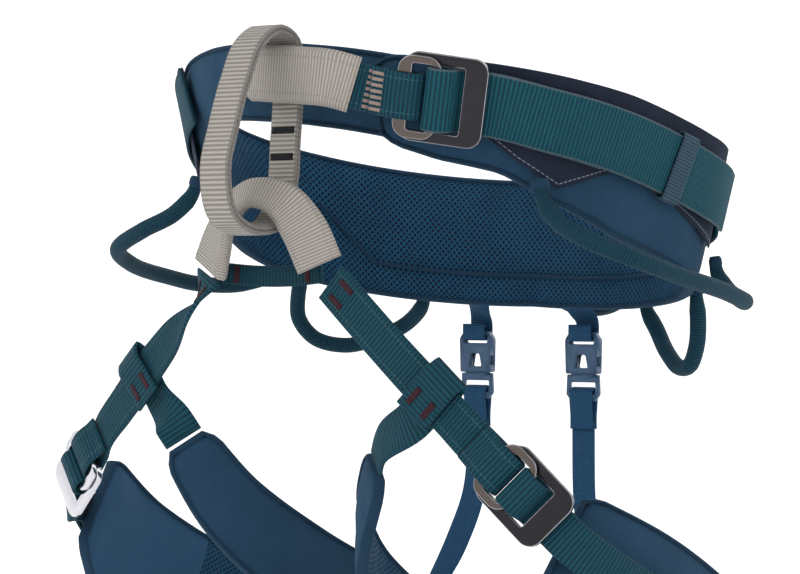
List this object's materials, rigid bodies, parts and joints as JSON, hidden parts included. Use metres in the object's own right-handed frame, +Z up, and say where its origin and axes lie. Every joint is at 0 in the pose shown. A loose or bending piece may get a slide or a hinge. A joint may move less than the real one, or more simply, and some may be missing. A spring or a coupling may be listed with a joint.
{
  "type": "climbing sit harness",
  "caption": "Padded climbing sit harness with a buckled waist belt, two padded adjustable leg loops, tie-in points, a belay loop, gear loops and rear clips.",
  "frame": {"origin": "middle of the waist opening, on the belt's line", "axes": "+Z up, -Y the wearer's front, +X the wearer's left"},
  "size_m": [0.371, 0.3032, 0.3791],
  "materials": {
    "black_metal": "gloss",
    "blue_plastic": "satin",
    "denim_fabric": "matte woven",
    "elastic_tape": "elastic tape",
    "foam": "soft foam",
    "grey_metal": "anodised satin",
    "grey_webbing": "woven sleeve",
    "lining_mesh": "perforated knit",
    "navy_fabric": "matte woven",
    "polished_metal": "polished",
    "teal_webbing": "ribbed webbing"
  },
  "bodies": {
    "waist_belt": {"belt_lining": "lining_mesh", "belt_foam": "foam", "belt_shell": "denim_fabric", "hip_patch_left": "navy_fabric", "hip_patch_right": "navy_fabric", "waist_webbing": "teal_webbing", "tie_in_strap": "teal_webbing", "tie_in_sleeve_upper": "grey_webbing", "tie_in_sleeve_lower": "grey_webbing", "lower_tie_in_webbing": "teal_webbing", "bridge_strap": "teal_webbing", "waist_tail": "teal_webbing", "tail_keeper": "elastic_tape", "waist_buckle_frame": "black_metal", "clip_tab_left": "elastic_tape", "clip_tab_right": "elastic_tape", "clip_socket_left": "blue_plastic", "clip_socket_right": "blue_plastic"},
    "waist_ring": {"waist_buckle_ring": "grey_metal"},
    "belay_loop": {"belay_loop": "grey_webbing"},
    "leg_right": {"leg_lining_right": "lining_mesh", "leg_foam_right": "foam", "leg_shell_right": "denim_fabric", "riser_right": "teal_webbing", "leg_webbing_right": "teal_webbing", "keeper_strap_right": "teal_webbing", "leg_right_buckle_frame": "polished_metal", "elastic_strap_right": "elastic_tape"},
    "leg_right_ring": {"leg_right_buckle_ring": "polished_metal"},
    "clip_plug_right": {"clip_plug_right": "blue_plastic", "elastic_end_right": "elastic_tape"},
    "leg_left": {"leg_lining_left": "lining_mesh", "leg_foam_left": "foam", "leg_shell_left": "denim_fabric", "riser_left": "teal_webbing", "leg_webbing_left": "teal_webbing", "keeper_strap_left": "teal_webbing", "leg_left_buckle_frame": "black_metal", "elastic_strap_left": "elastic_tape"},
    "leg_left_ring": {"leg_left_buckle_ring": "grey_metal"},
    "clip_plug_left": {"clip_plug_left": "blue_plastic", "elastic_end_left": "elastic_tape"},
    "gear_loop_front_left": {"gear_loop_front_left": "teal_webbing"},
    "gear_loop_front_right": {"gear_loop_front_right": "teal_webbing"},
    "gear_loop_rear_left": {"gear_loop_rear_left": "teal_webbing"},
    "gear_loop_rear_right": {"gear_loop_rear_right": "teal_webbing"},
    "haul_loop": {"haul_loop": "teal_webbing"}
  },
  "joints": [
    {"name": "waist_ring_slide", "type": "slide", "parent": "waist_belt", "child": "waist_ring", "axis": [0.8911, 0.4277, -0.1516], "range_m": [0, 0.0012]},
    {"name": "belay_loop_swivel", "type": "hinge", "parent": "waist_belt", "child": "belay_loop", "pos_m": [0, -0.152, 0.041], "axis": [0, 0.2324, 0.9726], "range_deg": [-6, 6]},
    {"name": "leg_right_swing", "type": "hinge", "parent": "waist_belt", "child": "leg_right", "pos_m": [-0.005, -0.156, -0.052], "axis": [1, 0, 0], "range_deg": [-30, 16], "stiffness_Nm_per_rad": 1.5, "springref_deg": 4.35, "deforming": ["elastic_strap_right"]},
    {"name": "leg_right_ring_slide", "type": "slide", "parent": "leg_right", "child": "leg_right_ring", "axis": [-0.722, 0.3094, -0.6189], "range_m": [0, 0.0012]},
    {"name": "clip_right_release", "type": "slide", "parent": "waist_belt", "child": "clip_plug_right", "axis": [0, 0, -1], "range_m": [0, 0.022], "deforming": ["elastic_strap_right"]},
    {"name": "leg_left_swing", "type": "hinge", "parent": "waist_belt", "child": "leg_left", "pos_m": [-0.005, -0.156, -0.052], "axis": [1, 0, 0], "range_deg": [-30, 16], "stiffness_Nm_per_rad": 1.5, "springref_deg": 4.53, "deforming": ["elastic_strap_left"]},
    {"name": "leg_left_ring_slide", "type": "slide", "parent": "leg_left", "child": "leg_left_ring", "axis": [0.6991, 0.1498, -0.6991], "range_m": [0, 0.0012]},
    {"name": "clip_left_release", "type": "slide", "parent": "waist_belt", "child": "clip_plug_left", "axis": [0, 0, -1], "range_m": [0, 0.022], "deforming": ["elastic_strap_left"]},
    {"name": "gear_loop_front_left_hinge", "type": "hinge", "parent": "waist_belt", "child": "gear_loop_front_left", "pos_m": [0.1212, -0.0331, -0.02712], "axis": [0.1862, 0.9449, -0.2694], "range_deg": [-25, 30], "stiffness_Nm_per_rad": 0.05},
    {"name": "gear_loop_front_right_hinge", "type": "hinge", "parent": "waist_belt", "child": "gear_loop_front_right", "pos_m": [-0.1172, -0.02864, -0.02043], "axis": [-0.2617, 0.9266, -0.27], "range_deg": [-30, 25], "stiffness_Nm_per_rad": 0.05},
    {"name": "gear_loop_rear_left_hinge", "type": "hinge", "parent": "waist_belt", "child": "gear_loop_rear_left", "pos_m": [0.08818, 0.06172, -0.0609], "axis": [-0.8951, 0.4286, -0.1232], "range_deg": [-30, 15], "stiffness_Nm_per_rad": 0.05},
    {"name": "gear_loop_rear_right_hinge", "type": "hinge", "parent": "waist_belt", "child": "gear_loop_rear_right", "pos_m": [-0.09665, 0.05486, -0.05322], "axis": [0.8436, 0.5, -0.1958], "range_deg": [-25, 30], "stiffness_Nm_per_rad": 0.05},
    {"name": "haul_loop_hinge", "type": "hinge", "parent": "waist_belt", "child": "haul_loop", "pos_m": [0.02002, 0.09377, -0.05318], "axis": [-0.9969, 0.0786, 0.0013], "range_deg": [-30, 20]}
  ]
}
